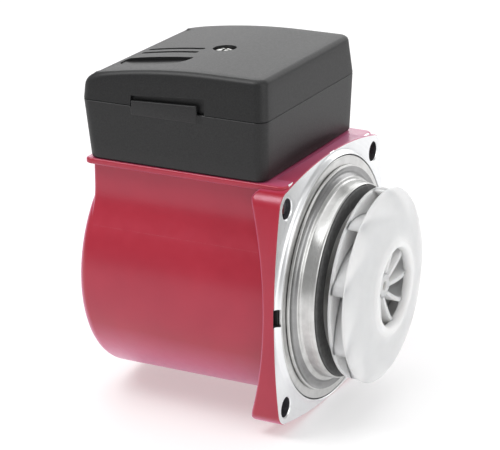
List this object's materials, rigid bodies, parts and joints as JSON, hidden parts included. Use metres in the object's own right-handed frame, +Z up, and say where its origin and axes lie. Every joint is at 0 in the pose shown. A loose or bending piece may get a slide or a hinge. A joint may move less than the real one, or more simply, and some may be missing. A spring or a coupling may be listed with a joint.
{
  "type": "circulator pump head",
  "caption": "Wet-rotor circulator pump head: round red motor barrel on a square bolt flange, black terminal box on top, white closed impeller in front.",
  "frame": {"origin": "on the shaft axis, in the plane of the flat flange face round the bolt holes", "axes": "+X along the shaft, out through the impeller; +Z up through the terminal box; +Y to the side of the cable gland"},
  "size_m": [0.1321, 0.1152, 0.1557],
  "materials": {
    "red_paint": "satin red paint on cast aluminium, machined bright on the flange face",
    "steel": "bright stainless steel, turned",
    "black_plastic": "fine grained charcoal black",
    "white_plastic": "smooth off-white moulding",
    "rubber": "black",
    "grey_rubber": "dark grey",
    "carbon": "graphite grey, smooth",
    "ceramic": "ivory, polished",
    "lamination": "stacked electrical steel",
    "rotor_aluminium": "cast, dull",
    "copper_winding": "enamelled copper wire",
    "brass": "bright brass",
    "cream_plastic": "cream moulding",
    "capacitor_shell": "light grey, smooth",
    "blue_lead": "blue insulation",
    "brown_lead": "brown insulation",
    "black_lead": "black insulation"
  },
  "bodies": {
    "motor": {"stator_housing": "red_paint", "rotor_can": "steel", "bearing_plate": "steel", "capacitor_clip": "steel", "base_screw_1": "steel", "base_screw_2": "steel", "base_screw_3": "steel", "base_screw_4": "steel", "terminal_box_base": "black_plastic", "cable_gland_body": "black_plastic", "cable_gland_locknut": "black_plastic", "housing_seal": "rubber", "terminal_box_gasket": "rubber", "lid_gasket": "rubber", "cable_gland_insert": "rubber", "bearing_plate_gasket": "grey_rubber", "front_bearing": "carbon", "rear_bearing": "carbon", "stator_core": "lamination", "stator_winding_front": "copper_winding", "stator_winding_rear": "copper_winding", "earth_screw": "brass", "earth_washer": "brass", "terminal_screw_1": "brass", "terminal_screw_2": "brass", "terminal_screw_3": "brass", "terminal_block": "cream_plastic", "capacitor": "capacitor_shell", "motor_lead_1": "blue_lead", "motor_lead_2": "brown_lead", "motor_lead_3": "black_lead"},
    "rotor": {"shaft": "ceramic", "rotor_core": "lamination", "rotor_end_ring_front": "rotor_aluminium", "rotor_end_ring_rear": "rotor_aluminium", "rotor_cladding": "steel", "thrust_washer": "carbon", "thrust_washer_holder": "rubber", "impeller_rear_shroud": "white_plastic", "impeller_front_shroud": "white_plastic"},
    "lid": {"terminal_box_lid": "black_plastic"},
    "lid_screw_collar": {"lid_screw_seal": "rubber"},
    "lid_screw": {"lid_screw": "steel"},
    "vent_plug_collar": {"vent_plug_seal": "rubber"},
    "vent_plug": {"vent_plug": "steel"},
    "gland_nut": {"cable_gland_nut": "black_plastic"}
  },
  "joints": [
    {"name": "rotor_spin", "type": "hinge", "parent": "motor", "child": "rotor", "pos_m": [0, 0, 0], "axis": [1, 0, 0], "continuous": true},
    {"name": "lid_lift", "type": "slide", "parent": "motor", "child": "lid", "axis": [0, 0, 1], "range_m": [0, 0.05]},
    {"name": "lid_screw_turn", "type": "hinge", "parent": "lid_screw_collar", "child": "lid_screw", "pos_m": [-0.052, 0, 0.095], "axis": [0, 0, 1], "range_deg": [0, 3086]},
    {"name": "lid_screw_rise", "type": "slide", "parent": "lid", "child": "lid_screw_collar", "axis": [0, 0, 1], "range_m": [0, 0.006]},
    {"name": "vent_plug_turn", "type": "hinge", "parent": "vent_plug_collar", "child": "vent_plug", "pos_m": [-0.097, 0, 0], "axis": [-1, 0, 0], "range_deg": [0, 2160]},
    {"name": "vent_plug_travel", "type": "slide", "parent": "motor", "child": "vent_plug_collar", "axis": [-1, 0, 0], "range_m": [0, 0.009]},
    {"name": "gland_nut_turn", "type": "hinge", "parent": "motor", "child": "gland_nut", "pos_m": [-0.078, 0.053, 0.0685], "axis": [0, 1, 0], "range_deg": [0, 720]}
  ],
  "couplings": [
    {"joint": "lid_screw_turn", "follows": "lid_screw_rise", "rad_per_m": 8976},
    {"joint": "vent_plug_turn", "follows": "vent_plug_travel", "rad_per_m": 4188.8}
  ]
}
